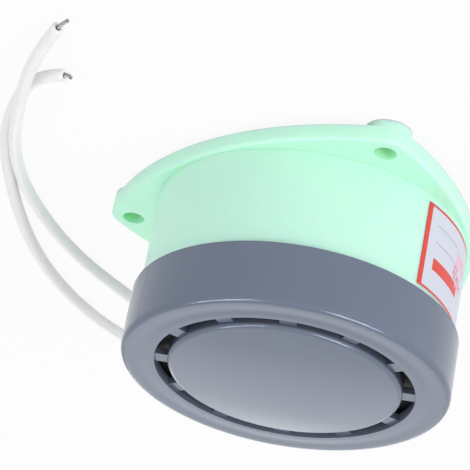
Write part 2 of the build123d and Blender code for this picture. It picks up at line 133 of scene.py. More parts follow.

# Painted shade on the disc's side down in the slots: where it starts, the radii and heights over which it
# fades, the upward part of a normal from which a surface counts as a top, and the share of the cap's colour
# that it keeps
SLOT_SHADE_FROM_R = 0.0238
SLOT_SHADE_R = (0.0256, 0.0276)
SLOT_SHADE_Z = (0.0409, 0.0418)
SLOT_SHADE_UP = 0.9
SLOT_SHADE_SHARE = 0.6

# Bolt holes of the three lugs, and the distances from their axes over which the painted light inside them
# fades
LUG_TURNS = (90.0, 210.0, 330.0)
LUG_CIRCLE_R = 0.040
LUG_HOLE_R = 0.0024
BORE_LIGHT_FADE = (LUG_HOLE_R - 0.00005, LUG_HOLE_R + 0.00025)

# Angle of the label's first edge, from which its print runs back, how far it wraps, and the greatest
# difference in height between vertices of one edge
LABEL_EDGE = 184.4
LABEL_ARC = 90.0
SAME_HEIGHT = 1e-5

# Print: how far it stays inside the label, how far the inked edge stands past the label's start, and the
# greatest width of a flat face
PRINT_INSET = 0.0001
INK_OVERHANG = 0.00002
PATCH_STEP = 0.0008

# Inks, in the order of the print's materials
INK, FAINT_INK, RULE, MARK = range(4)

# Bars: first and last distance along the wrap, height, and share of a bar's full height
NEAR_BAR = (0.0039, 0.0165, 0.0182, 1.0)
FAR_BAR = (0.0400, 0.0480, 0.0217, 0.5)

# Thin lines of the label's two halves: first and last distance along the wrap, and heights
NEAR_RULES = (0.0038, 0.0134, (0.0106, 0.0144))
FAR_RULES = (0.0250, 0.0480, (0.0106, 0.0132, 0.0158, 0.0184, 0.0210))

# Rows of short marks: first and last distance along the wrap, height, and ink
MARK_ROWS = (
    (0.0136, 0.0200, 0.0112, FAINT_INK),
    (0.0141, 0.0210, 0.0124, FAINT_INK),
    (0.0140, 0.0200, 0.0136, FAINT_INK),
    (0.0132, 0.0158, 0.0148, MARK),
    (0.0130, 0.0176, 0.0159, MARK),
    (0.0136, 0.0198, 0.0170, MARK),
    (0.0150, 0.0196, 0.0181, FAINT_INK),
)

# Seed of the short marks, and the least and greatest of their widths, heights and gaps
MARK_SEED = 7
MARK_W = (0.0004, 0.0011)
MARK_H = (0.0005, 0.0011)
MARK_GAP = (0.0002, 0.0006)

# Circuit board: how much lighter the weave's threads are, the width of the bare rim, and the scales of the
# waves that make the weave and the screws' thread
WEAVE_LIFT = 1.35
RIM_W = 0.0001
WEAVE_SCALE = 700.0
THREAD_SCALE = 340.0
THREAD_DEPTH = 0.00025

# Legs that show under the parts on the board and their gloss, and how much longer two of the parts' are
LEG = 0.00025
PIN_ROUGHNESS = 0.3
STOPPER_LEG = 0.0019
TRANSISTOR_LEG = 0.0029

# Lengths of the bodies that lie on the board, with a little to spare
DIODE_LENGTH = 0.0052
RESISTOR_LENGTH = 0.0064
BODY_SPARE = 0.00002

# The can's stripe, and the waves that make the coil's turns, with painted shade in their troughs and a
# painted highlight on their crests
STRIPE_W = 0.0011
COIL_SCALE = 560.0
COIL_DEPTH = 0.00016

# Values between which most of a noise lies
NOISE_RANGE = (0.3, 0.7)

# Camera: where it stands, where it looks, and which way its right side points
CAMERA_SPOT = (-0.3180, -0.3477, 0.2612)
CAMERA_FORWARD = (0.6172, 0.6303, -0.4709)
CAMERA_RIGHT = (-0.7648, 0.6211, -0.1711)

# Lamps: name, property that holds the power, azimuth, elevation, distance, width, height, and whether
# matt and glossy surfaces take their light
LAMP_TARGET = (0.0, 0.0, 0.022)
LAMPS = (
    ("left_softbox", "left_box", -66.0, 27.0, 0.6, 0.4, 0.2, True, False),
    ("right_softbox", "right_box", 175.0, 27.0, 0.6, 0.4, 0.2, True, False),
    ("side_softbox", "side_box", 192.0, 7.0, 0.7, 0.5, 0.18, True, False),
    ("far_softbox", "far_box", 45.0, 14.0, 0.8, 0.42, 0.12, True, True),
    ("grille_softbox", "grille_box", 45.0, 25.0, 0.8, 0.6, 0.14, True, True),
    ("left_strip", "left_strip", -66.0, 57.0, 0.6, 0.42, 0.02, False, True),
    ("right_strip", "right_strip", 173.0, 58.0, 0.6, 0.32, 0.02, False, True),
)

# Share of white in the floor that the eye and reflections see
FLOOR_WHITE = 0.92


def shade(red, green, blue):
    """Linear colour from the three values, 0 to 255, that it shows on a screen."""
    values = (red / 255, green / 255, blue / 255)
    return tuple(v / 12.92 if v <= 0.04045 else ((v + 0.055) / 1.055) ** 2.4 for v in values)


def direction(azimuth, elevation):
    """Unit vector from the origin towards an azimuth and an elevation."""
    turn, rise = math.radians(azimuth), math.radians(elevation)
    return Vector((math.cos(turn) * math.cos(rise), math.sin(turn) * math.cos(rise), math.sin(rise)))


# Painted light in the lug holes, a fuller and greener mint that stands in for light coming through the
# plastic, and colours inside the buzzer
BORE_PAINTED_LIGHT = shade(196, 252, 212)
BRASS = shade(192, 160, 88)
SILVER = shade(206, 204, 196)
TINNED = shade(200, 199, 194)
STEEL = shade(176, 178, 182)
SOLDER = shade(196, 197, 200)
BARE_RIM = shade(150, 160, 96)
FERRITE = shade(52, 50, 50)
# Painted shade between the coil's turns, and painted highlight on their crests
COPPER = shade(184, 92, 42)
COPPER_TROUGH_SHADE = shade(112, 48, 20)
COPPER_CREST_HIGHLIGHT = shade(204, 108, 54)
CAN = shade(30, 36, 60)
CAN_PIN = shade(190, 192, 196)
CAN_STRIPE = shade(196, 200, 206)
BLOCK = shade(176, 44, 34)
COATING = shade(24, 62, 150)
RESIN = shade(26, 26, 28)
TAN = shade(206, 176, 128)

# Bands of the parts that lie on the board: where each starts along the body, and its colour
DIODE_BANDS = ((0.0, RESIN), (0.74, CAN_PIN), (0.88, RESIN))
RESISTOR_BANDS = (
    (0.0, TAN),
    (0.12, shade(96, 54, 26)),
    (0.2, TAN),
    (0.34, shade(30, 28, 28)),
    (0.42, TAN),
    (0.54, shade(196, 92, 30)),
    (0.62, TAN),
    (0.8, shade(190, 152, 62)),
    (0.88, TAN),
)


def colour_property(name, description, default):
    """Colour that a user can change."""
    return FloatVectorProperty(
        name=name, description=description, default=default, subtype="COLOR", size=3, min=0.0, max=1.0
    )


def length_property(name, description, default):
    """Length that a user can change."""
    return FloatProperty(
        name=name,
        description=description,
        default=default,
        min=0.0,
        subtype="DISTANCE",
        unit="LENGTH",
        precision=5,
    )


def power_property(name, description, default):
    """Power of a lamp that a user can change."""
    return FloatProperty(name=name, description=description, default=default, min=0.0, unit="POWER")


class BuzzerColours(bpy.types.PropertyGroup):
    """Colours of the buzzer's finishes."""

    housing: colour_property("Housing", "Moulded housing", shade(198, 250, 224))
    cap: colour_property("Cap", "Grille cap", shade(103, 111, 128))
    label: colour_property("Label", "Bare field of the side label", shade(201, 204, 218))
    ink: colour_property("Ink", "Border and bars of the label", shade(212, 62, 48))
    faint_ink: colour_property("Faint ink", "Small marks of the label", shade(236, 170, 190))
    mark: colour_property("Marks", "Darker of the label's small marks", shade(214, 118, 156))
    rule: colour_property("Rules", "Thin lines of the label", shade(178, 150, 170))
    lead: colour_property("Leads", "Cover of the supply leads", shade(239, 237, 239))
    strand: colour_property("Strands", "Tinned strands of the leads", shade(172, 172, 170))
    board: colour_property("Board", "Lacquer of the circuit board", shade(30, 92, 52))
    ring: colour_property("Ring", "Sounder ring", shade(24, 27, 34))
    floor: colour_property("Floor", "Floor under the buzzer", shade(230, 230, 230))


class BuzzerLeads(bpy.types.PropertyGroup):
    """Sizes of the supply leads and their bare strands."""

    cover_d: length_property("Cover diameter", "Outside diameter of a lead", 0.0027)
    bore_d: length_property("Bore diameter", "Bore of a lead's cover at its cut end", 0.0011)
    bore_depth: length_property("Bore depth", "How far the bore shows at the cut end", 0.0012)
    step: length_property("Ring step", "Distance between a lead's rings", 0.0008)
    strand_d: length_property("Strand diameter", "Diameter of one tinned strand", 0.00028)
    lay_length: length_property("Lay length", "Length of one turn of the strands", 0.0042)
    sides: IntProperty(name="Sides", description="Sides of a lead's section", default=28, min=8)


class BuzzerLabel(bpy.types.PropertyGroup):
    """Sizes of the label's print."""

    border: length_property("Border", "Width of the border along the wrap", 0.0005)
    end_border: length_property("End border", "Width of the border at either end of the wrap", 0.00115)
    rule_w: length_property("Rule width", "Width of a thin line", 0.00016)
    bar_h: length_property("Bar height", "Full height of a solid bar", 0.0027)
    ink_t: length_property("Ink thickness", "How far the print stands out", 0.000025)
    paper_t: length_property("Paper thickness", "Depth of the inked edge at the label's start", 0.00013)


class BuzzerStage(bpy.types.PropertyGroup):
    """Sizes and strengths of the stage."""

    floor_size: length_property("Floor size", "Side of the square floor", 6.0)
    lens: FloatProperty(
        name="Lens",
        description="Focal length of the camera",
        default=188.8,
        min=1.0,
        unit="CAMERA",
    )
    sky: FloatProperty(
        name="Sky",
        description="Strength of the even light from all round",
        default=0.785,
        min=0.0,
    )
    left_box: power_property("Left softbox", "Power of the left softbox", 0.46)
    right_box: power_property("Right softbox", "Power of the right softbox", 1.0)
    left_strip: power_property("Left strip", "Power of the left strip, seen in gloss only", 1.8)
    right_strip: power_property("Right strip", "Power of the right strip, seen in gloss only", 2.2)
    far_box: power_property("Far softbox", "Power of the low far softbox", 0.5)
    grille_box: power_property("Grille softbox", "Power of the softbox over the far one", 0.15)
    side_box: power_property("Side softbox", "Power of the low side softbox", 0.8)


class Finish:
    """One procedural material: its shader, and short ways to add what varies over the surface."""

    def __init__(self, name, colour, roughness, metallic=0.0):
        self.material = bpy.data.materials.new(name)
        self.material.use_nodes = True
        self.nodes = self.material.node_tree.nodes
        self.links = self.material.node_tree.links
        self.shader = next(n for n in self.nodes if n.type == "BSDF_PRINCIPLED")
        self.set("Base Color", (*colour, 1.0))
        self.set("Roughness", roughness)
        self.set("Metallic", metallic)
        self.place = self.nodes.new("ShaderNodeTexCoord").outputs["Object"]
        self.material.diffuse_color = (*colour, 1.0)

    def set(self, socket, value):
        """Gives one of the shader's own sockets a constant."""
        self.shader.inputs[socket].default_value = value

    def join(self, output, socket):
        """Links an output to one of the shader's sockets."""
        self.links.new(output, self.shader.inputs[socket])

    def node(self, kind, inputs=None, **settings):
        """New node with its settings, and its inputs linked or set by name or number."""
        made = self.nodes.new(kind)
        for key, value in settings.items():
            setattr(made, key, value)
        for key, value in (inputs or {}).items():
            if isinstance(value, bpy.types.NodeSocket):
                self.links.new(value, made.inputs[key])
            else:
                made.inputs[key].default_value = value
        return made

    def math(self, operation, first, second=0.0):
        """Result of a sum, product or comparison."""
        return self.node("ShaderNodeMath", {0: first, 1: second}, operation=operation).outputs[0]

    def vector_math(self, operation, first, second=(0.0, 0.0, 0.0)):
        """Number that comes from two vectors."""
        made = self.node("ShaderNodeVectorMath", {0: first, 1: second}, operation=operation)
        return made.outputs["Value"]

    def axis(self, letter):
        """One coordinate of the surface point, in metres."""
        return self.node("ShaderNodeSeparateXYZ", {0: self.place}).outputs[letter]

    def stretched(self, scale):
        """Surface point scaled by three factors, for a grain that runs one way."""
        return self.node("ShaderNodeMapping", {"Vector": self.place, "Scale": scale}).outputs[0]

    def radius(self):
        """Distance of the surface point from the buzzer's axis."""
        return self.vector_math("LENGTH", self.stretched((1.0, 1.0, 0.0)))

    def noise(self, grain, detail=3.0, vector=None):
        """Noise whose blotches are about a grain wide."""
        inputs = {"Vector": vector or self.place, "Scale": 1.0 / grain, "Detail": detail, "Roughness": 0.55}
        return self.node("ShaderNodeTexNoise", inputs).outputs[0]

    def waves(self, scale, letter):
        """Even waves that follow each other along one axis."""
        inputs = {"Vector": self.place, "Scale": scale}
        return self.node("ShaderNodeTexWave", inputs, bands_direction=letter).outputs[1]

    def span(self, value, low, high, start=0.0, end=1.0, smooth=False):
        """Value moved from one range to another."""
        inputs = {"Value": value, "From Min": start, "From Max": end, "To Min": low, "To Max": high}
        kind = "SMOOTHSTEP" if smooth else "LINEAR"
        return self.node("ShaderNodeMapRange", inputs, interpolation_type=kind).outputs[0]

    def blend(self, factor, first, second):
        """Colour between two others."""
        made = self.node("ShaderNodeMix", {0: factor}, data_type="RGBA")
        for socket, value in ((made.inputs[6], first), (made.inputs[7], second)):
            if isinstance(value, bpy.types.NodeSocket):
                self.links.new(value, socket)
            else:
                socket.default_value = (*value, 1.0)
        return made.outputs[2]

    def bands(self, value, stops):
        """Flat bands of colour: each stop is where a band starts and its colour."""
        made = self.node("ShaderNodeValToRGB", {0: value})
        elements = made.color_ramp.elements
        made.color_ramp.interpolation = "CONSTANT"
        while len(elements) < len(stops):
            elements.new(1.0)
        for element, (start, colour) in zip(elements, stops):
            element.position = start
            element.color = (*colour, 1.0)
        return made.outputs[0]

    def bump(self, height, depth, strength=1.0):
        """Relief of a depth in metres, laid over any relief already there."""
        inputs = {"Height": height, "Distance": depth, "Strength": strength}
        before = self.shader.inputs["Normal"].links
        if before:
            inputs["Normal"] = before[0].from_socket
        self.join(self.node("ShaderNodeBump", inputs).outputs[0], "Normal")

    def tint(self, colour, amount, grain):
        """Slow drift of the base colour, a little lighter and darker."""
        lighter = tuple(min(1.0, v * (1 + amount)) for v in colour)
        darker = tuple(v * (1 - amount) for v in colour)
        drift = self.span(self.noise(grain, detail=2.0), 0.0, 1.0, *NOISE_RANGE)
        self.join(self.blend(drift, darker, lighter), "Base Color")

    def lay_over(self, factor, colour):
        """Covers the base colour with another where a factor is one."""
        before = self.shader.inputs["Base Color"].links[0].from_socket
        self.join(self.blend(factor, before, colour), "Base Color")

    def rub(self, low, high, grain):
        """Roughness that wanders between two values."""
        self.join(self.span(self.noise(grain, detail=4.0), low, high, *NOISE_RANGE), "Roughness")


def dress(node_name, finish):
    """Gives a CAD node its material."""
    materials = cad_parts[node_name].data.materials
    materials.clear()
    materials.append(finish.material)


def new_piece(name, mesh, finishes):
    """New piece that rides on the body, with its materials."""
    for finish in finishes:
        mesh.materials.append(finish.material)
    piece = bpy.data.objects.new(name, mesh)
    bpy.context.scene.collection.objects.link(piece)
    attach(piece, BODY)
    return piece


def moulded_plastic(name, colour, roughness, drift, wear=0.08):
    """Moulded plastic: a slow drift of colour, a skin with fine grain, faint flow waves and soft rubs."""
    finish = Finish(name, colour, roughness)
    finish.tint(colour, amount=drift, grain=0.018)
    finish.rub(roughness - wear / 2, roughness + wear / 2, grain=0.02)
    finish.bump(finish.noise(grain=0.012, detail=1.0), depth=0.00006, strength=0.35)
    finish.bump(finish.noise(grain=0.0011, detail=1.0), depth=0.000004, strength=0.4)
    return finish


def metal(name, colour, roughness, drift, grain, metallic=1.0):
    """Bare metal whose colour drifts a little."""
    finish = Finish(name, colour, roughness, metallic)
    finish.tint(colour, drift, grain)
    return finish


def tinned_wire(name):
    """Bright tinned copper wire."""
    finish = metal(name, TINNED, roughness=0.34, drift=0.08, grain=0.0009)
    finish.rub(0.29, 0.4, grain=0.0007)
    return finish


def pinned(finish, body_colour, above, pin_colour):
    """Pins under a height are bright metal, and the body above them keeps its own colour."""
    body = finish.math("GREATER_THAN", finish.axis("Z"), above)
    finish.join(finish.blend(body, pin_colour, body_colour), "Base Color")
    finish.join(finish.math("SUBTRACT", 1.0, body), "Metallic")
    body_roughness = finish.shader.inputs["Roughness"].default_value
    finish.join(finish.span(body, PIN_ROUGHNESS, body_roughness), "Roughness")


# ---------------------------------------------------------------- leads


def spline_points(points):
    """Points of the smooth line that a route's points control."""
    curve = bpy.data.curves.new("route", "CURVE")
    curve.dimensions = "3D"
    curve.resolution_u = 48
    spline = curve.splines.new("NURBS")
    spline.points.add(len(points) - 1)
    for point, spot in zip(spline.points, points):
        point.co = (*spot, 1.0)
    spline.order_u = 3
    spline.use_endpoint_u = True
    holder = bpy.data.objects.new("route", curve)
    bpy.context.scene.collection.objects.link(holder)
    mesh = bpy.data.meshes.new_from_object(holder)
    line = [vertex.co.copy() for vertex in mesh.vertices]
    bpy.data.objects.remove(holder)
    bpy.data.meshes.remove(mesh)
    bpy.data.curves.remove(curve)
    return line


def spaced(line, step):
    """Points along a line, all the same distance apart, with both ends kept."""
    total = sum((b - a).length for a, b in zip(line, line[1:]))
    count = max(2, round(total / step))
    wanted = [total * index / count for index in range(count + 1)]
    found, run, segment = [line[0].copy()], 0.0, 0
    for distance in wanted[1:-1]:
        while run + (line[segment + 1] - line[segment]).length < distance:
            run += (line[segment + 1] - line[segment]).length
            segment += 1
        share = (distance - run) / (line[segment + 1] - line[segment]).length
        found.append(line[segment].lerp(line[segment + 1], share))
    return [*found, line[-1].copy()], total


def frames_along(line):
    """Direction and two square directions at each point, turned as little as possible along the way."""
    ways = []
    for index in range(len(line)):
        before, after = line[max(index - 1, 0)], line[min(index + 1, len(line) - 1)]
        ways.append((after - before).normalized())
    side = ways[0].orthogonal().normalized()
    frames = []
    for way in ways:
        side = (side - way * side.dot(way)).normalized()
        frames.append((way, side, way.cross(side)))
    return frames


def ring_of(mesh, centre, side, up, radius, count, wobble=None):
    """Closed ring of vertices round a centre."""
    ring = []
    for index in range(count):
        angle = math.tau * index / count
        out = side * math.cos(angle) + up * math.sin(angle)
        ring.append(mesh.verts.new(centre + out * radius + (wobble(angle) if wobble else Vector())))
    return ring


def skin(mesh, rings):
    """Faces between neighbouring rings, and a flat face over each end."""
    for first, second in zip(rings, rings[1:]):
        for index in range(len(first)):
            after = (index + 1) % len(first)
            mesh.faces.new((first[index], first[after], second[after], second[index]))
    mesh.faces.new(reversed(rings[0]))
    mesh.faces.new(rings[-1])


def finished_mesh(name, mesh, smooth=True):
    """Mesh data from a working mesh, with its faces turned outward."""
    bmesh.ops.recalc_face_normals(mesh, faces=mesh.faces)
    for face in mesh.faces:
        face.smooth = smooth
    data = bpy.data.meshes.new(name)
    mesh.to_mesh(data)
    mesh.free()
    return data


def lead_mesh(name, line, sizes):
    """Cover of one lead: a tube along its line, with a ragged cut end whose bore shows the strands."""
    mesh = bmesh.new()
    frames = frames_along(line)
    radius, bore = sizes.cover_d / 2, sizes.bore_d / 2
    way, side, up = frames[0]

    def ragged(depth):
        """Uneven edge that a stripping tool leaves: the shift along the lead at each angle."""

        def shift(angle):
            """Shift at one angle."""
            spot = Vector((math.cos(angle), math.sin(angle), depth * RAG_SPREAD))
            return way * depth * noise.noise(spot * RAG_SCALE)

        return shift

    rings = []
    # From the bore's floor out to the cover's skin: distance in from the cut, radius, and raggedness
    for inward, ring_r, depth in (
        (sizes.bore_depth, bore * 0.96, 0.0),
        (0.0003, bore, 0.0),
        (0.0, bore * 1.12, 0.00022),
        (-0.00004, (bore + radius) / 2, 0.00026),
        (0.00002, radius * 0.93, 0.00024),
        (0.00022, radius * 0.995, 0.00012),
    ):
        centre = line[0] + way * inward
        rings.append(ring_of(mesh, centre, side, up, ring_r, sizes.sides, ragged(depth) if depth else None))
    for centre, (_, across, over) in zip(line[1:], frames[1:]):
        swell = 1 + SWELL * noise.noise(centre * SWELL_SCALE)
        rings.append(ring_of(mesh, centre, across, over, radius * min(swell, 1.0), sizes.sides))
    skin(mesh, rings)
    return finished_mesh(name, mesh)


def strands_mesh(name, line, sizes, reach):
    """Tinned strands laid round a middle one, a little opened and uneven at their cut ends."""
    mesh = bmesh.new()
    frames = frames_along(line)
    total = sum((b - a).length for a, b in zip(line, line[1:]))
    strand_r = sizes.strand_d / 2
    draw = random.Random(reach)
    for strand in range(STRANDS):
        start = math.tau * strand / (STRANDS - 1) + draw.uniform(-UNEVEN_TURN, UNEVEN_TURN)
        short = draw.uniform(0.0, UNEVEN_CUT)
        run, rings = 0.0, []
        for index, (centre, (way, side, up)) in enumerate(zip(line, frames)):
            run += (centre - line[index - 1]).length if index else 0.0
            if run > total - short:
                break
            angle = start + math.tau * run / sizes.lay_length
            opened = 1 + CUT_FLARE * (run / total) ** 3
            off = 0.0 if strand == STRANDS - 1 else strand_r * LAY_SPREAD * opened
            out = side * math.cos(angle) + up * math.sin(angle)
            turn = (up * math.cos(angle) - side * math.sin(angle)) * (math.tau * off / sizes.lay_length)
            lay = (way + turn).normalized()
            across = (out - lay * out.dot(lay)).normalized()
            rings.append(ring_of(mesh, centre + out * off, across, lay.cross(across), strand_r, STRAND_SIDES))
        skin(mesh, rings)
    return finished_mesh(name, mesh)


class BUZZER_OT_leads(bpy.types.Operator):
    """Lay both supply leads along their routes, with the bare strands at their cut ends."""

    bl_idname = "buzzer.leads"
    bl_label = "Supply leads"

    def execute(self, context):
        colours, sizes = context.scene.buzzer_colours, context.scene.buzzer_leads
        cover = Finish("lead_cover", colours.lead, roughness=0.42)
        cover.tint(colours.lead, amount=0.012, grain=0.006)
        cover.rub(0.36, 0.52, grain=0.003)
        cover.bump(cover.noise(grain=0.0016, detail=1.0), depth=0.00001, strength=0.3)
        tinned = metal("tinned_strand", colours.strand, roughness=0.4, drift=0.22, grain=0.0006)
        tinned.rub(0.3, 0.5, grain=0.0005)
        tinned.bump(tinned.noise(grain=0.00012), depth=0.000012, strength=0.6)
        for letter, points in LEAD_ROUTES.items():
            line, total = spaced(spline_points(points), sizes.step)
            mesh = lead_mesh(f"lead_{letter}", line, sizes)
            lead = new_piece(f"lead_{letter}", mesh, [cover])
            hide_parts(f"lead_wire_{letter}")
            start, way = line[0], (line[0] - line[1]).normalized()
            inside, knee = start - way * sizes.bore_depth * STRAND_START, start + way * KNEE
            bare = spline_points([inside, start, knee, Vector(TIP_ENDS[letter])])
            bare, reach = spaced(bare, STRAND_STEP)
            mesh = strands_mesh(f"strands_{letter}", bare, sizes, reach)
            strands = new_piece(f"strands_{letter}", mesh, [tinned])
            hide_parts(f"lead_tip_{letter}")
        return {"FINISHED"}


# ---------------------------------------------------------------- housing and cap


class BUZZER_OT_housing(bpy.types.Operator):
    """Dress the moulded housing with its flange, lugs and pads."""

    bl_idname = "buzzer.housing"
    bl_label = "Housing"

    def execute(self, context):
        colour = context.scene.buzzer_colours.housing
        finish = moulded_plastic("housing_plastic", colour, roughness=0.4, drift=0.008)
        finish.set("Specular IOR Level", 0.35)
        finish.set("Subsurface Weight", 0.75)
        finish.set("Subsurface Radius", (0.25, 1.0, 0.5))
        finish.set("Subsurface Scale", 0.003)
        # painted light: fuller, greener mint inside the lug holes
        self.paint_bore_light(finish)
        dress("housing", finish)
        return {"FINISHED"}

    def paint_bore_light(self, finish):
        """Painted light inside the lug holes: a fuller, greener mint that stands in for light coming through
        the plastic.
        """
        flat = finish.stretched((1.0, 1.0, 0.0))
        nearest = None
        for turn in LUG_TURNS:
            spot = direction(turn, 0.0) * LUG_CIRCLE_R
            away = finish.vector_math("DISTANCE", flat, spot)
            nearest = away if nearest is None else finish.math("MINIMUM", nearest, away)
        finish.lay_over(finish.span(nearest, 1.0, 0.0, *BORE_LIGHT_FADE, smooth=True), BORE_PAINTED_LIGHT)


class BUZZER_OT_cap(bpy.types.Operator):
    """Dress the grille cap."""

    bl_idname = "buzzer.cap"
    bl_label = "Grille cap"

    def execute(self, context):
        colour = context.scene.buzzer_colours.cap
        finish = moulded_plastic("cap_plastic", colour, roughness=0.17, drift=0.02, wear=0.02)
        # painted shade down the disc's side in the slots
        self.paint_slot_shade(finish, colour)
        finish.bump(self.sink(finish), SINK_DEPTH)
        finish.bump(self.seam(finish), SEAM_DEPTH)
        finish.set("Specular Tint", COOL_GLOSS)
        dress("grille_cap", finish)
        return {"FINISHED"}

    def paint_slot_shade(self, finish, colour):
        """Painted shade down the disc's side in the slots: a darker colour on its steep walls, which leaves
        the ribs' tops at the cap's own colour.
        """
        radius = finish.radius()
        outside = finish.math("GREATER_THAN", radius, SLOT_SHADE_FROM_R)
        inner = finish.span(radius, 1.0, 0.0, *SLOT_SHADE_R, smooth=True)
        deep = finish.span(finish.axis("Z"), 1.0, 0.0, *SLOT_SHADE_Z, smooth=True)
        normal = finish.node("ShaderNodeTexCoord").outputs["Normal"]
        upward = finish.node("ShaderNodeSeparateXYZ", {0: normal}).outputs["Z"]
        steep = finish.math("LESS_THAN", upward, SLOT_SHADE_UP)
        ring = finish.math("MULTIPLY", outside, inner)
        side = finish.math("MULTIPLY", deep, steep)
        finish.lay_over(finish.math("MULTIPLY", ring, side), tuple(v * SLOT_SHADE_SHARE for v in colour))

    def sink(self, finish):
        """Shallow sink round the face, halfway between the slots and the cap's edge."""
        away = finish.math("ABSOLUTE", finish.math("SUBTRACT", finish.radius(), SINK_R))
        return finish.span(away, 0.0, 1.0, 0.0, SINK_HALF_W, smooth=True)

    def seam(self, finish):
        """Fine mould line down one side of the cap."""
        ahead = finish.vector_math("DOT_PRODUCT", finish.place, direction(SEAM_TURN, 0.0))
        aside = finish.vector_math("DOT_PRODUCT", finish.place, direction(SEAM_TURN + 90.0, 0.0))
        away = finish.math("ABSOLUTE", aside)
        line = finish.span(away, 0.0, 1.0, 0.0, SEAM_HALF_W, smooth=True)
        elsewhere = finish.math("LESS_THAN", ahead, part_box("grille_cap")[1].x - SEAM_INSET)
        return finish.math("MAXIMUM", line, elsewhere)


# ---------------------------------------------------------------- label


def wall_point(angle, height, lift):
    """Point on the label's outer skin at an angle in degrees, raised by a lift."""
    low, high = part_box("side_label")
    top_r, foot_r = LABEL_RADII
    share = (height - low.z) / (high.z - low.z)
    radius = foot_r + (top_r - foot_r) * share + lift
    turn = math.radians(angle)
    return Vector((radius * math.cos(turn), radius * math.sin(turn), height))


def label_radii():
    """Outer radius of the label at its upper and its lower edge."""
    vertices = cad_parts["side_label"].data.vertices
    low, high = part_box("side_label")

    def widest(height):
        """Largest radius at a height."""
        return max(math.hypot(v.co.x, v.co.y) for v in vertices if abs(v.co.z - height) < SAME_HEIGHT)

    return widest(high.z), widest(low.z)


LABEL_RADII = label_radii()


def print_patch(mesh, start, end, low, high, ink, lift, depth=0.0):
    """Thin raised field of ink between two distances along the wrap and two heights.

    It goes up by the lift and down into the paper by the depth, or by half the lift where that is more.
    """
    to_angle = math.degrees(1 / LABEL_RADII[1])
    columns = max(1, math.ceil((end - start) / PATCH_STEP))
    grid = {}
    for column in range(columns + 1):
        angle = LABEL_EDGE - (start + (end - start) * column / columns) * to_angle
        for row, height in enumerate((low, high)):
            for layer, rise in enumerate((-max(depth, lift * 0.5), lift)):
                grid[column, row, layer] = mesh.verts.new(wall_point(angle, height, rise))
    faces = []
    for column in range(columns):
        a, b = column, column + 1
        faces += [
            (grid[a, 0, 1], grid[b, 0, 1], grid[b, 1, 1], grid[a, 1, 1]),
            (grid[a, 0, 0], grid[a, 1, 0], grid[b, 1, 0], grid[b, 0, 0]),
            (grid[a, 0, 0], grid[b, 0, 0], grid[b, 0, 1], grid[a, 0, 1]),
            (grid[a, 1, 0], grid[a, 1, 1], grid[b, 1, 1], grid[b, 1, 0]),
        ]
    for column in (0, columns):
        faces.append((grid[column, 0, 0], grid[column, 0, 1], grid[column, 1, 1], grid[column, 1, 0]))
    for corners in faces:
        mesh.faces.new(corners).material_index = ink


class BUZZER_OT_label(bpy.types.Operator):
    """Dress the side label and lay its plain print: a border, bars, thin lines and rows of short marks."""

    bl_idname = "buzzer.label"
    bl_label = "Side label"

    def execute(self, context):
        colours, sizes = context.scene.buzzer_colours, context.scene.buzzer_label
        paper = Finish("label_paper", colours.label, roughness=0.38)
        paper.tint(colours.label, amount=0.01, grain=0.004)
        paper.bump(paper.noise(grain=0.0009), depth=0.00001, strength=0.5)
        dress("side_label", paper)
        inks = []
        for name, colour in (
            ("label_ink", colours.ink),
            ("label_faint_ink", colours.faint_ink),
            ("label_rule", colours.rule),
            ("label_mark", colours.mark),
        ):
            ink = Finish(name, colour, roughness=0.4)
            ink.tint(colour, amount=0.05, grain=0.0007)
            inks.append(ink)
        low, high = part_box("side_label")
        wrap = math.radians(LABEL_ARC) * LABEL_RADII[1]
        foot, top = low.z + PRINT_INSET, high.z - PRINT_INSET
        first, last = PRINT_INSET, wrap - PRINT_INSET
        inner_foot, inner_top = foot + sizes.border, top - sizes.border
        patches = [
            (first, last, foot, inner_foot, INK),
            (first, last, inner_top, top, INK),
            (first, first + sizes.end_border, inner_foot, inner_top, INK),
            (last - sizes.end_border, last, inner_foot, inner_top, INK),
            self.bar(NEAR_BAR, sizes),
            *self.rules(NEAR_RULES, sizes),
            *self.marks(),
            *self.rules(FAR_RULES, sizes),
            self.bar(FAR_BAR, sizes),
        ]
        mesh = bmesh.new()
        for patch in patches:
            print_patch(mesh, *patch, sizes.ink_t)
        print_patch(mesh, -INK_OVERHANG, first, foot, top, INK, sizes.ink_t, sizes.paper_t)
        mesh = finished_mesh("label_print", mesh, smooth=False)
        new_piece("label_print", mesh, inks)
        return {"FINISHED"}

    def bar(self, row, sizes):
        """Patch of one solid bar."""
        start, end, height, share = row
        return start, end, height, height + sizes.bar_h * share, INK

    def rules(self, rows, sizes):
        """Patches of thin lines one over the other."""
        start, end, heights = rows
        return [(start, end, height, height + sizes.rule_w, RULE) for height in heights]

    def marks(self):
        """Patches of the short marks, whose widths, heights and gaps are drawn in order."""
        draw = random.Random(MARK_SEED)
        patches = []
        for start, end, height, ink in MARK_ROWS:
            while start < end:
                width = draw.uniform(*MARK_W)
                tall = draw.uniform(*MARK_H)
                patches.append((start, start + width, height, height + tall, ink))
                start += width + draw.uniform(*MARK_GAP)
        return patches


# ---------------------------------------------------------------- inside


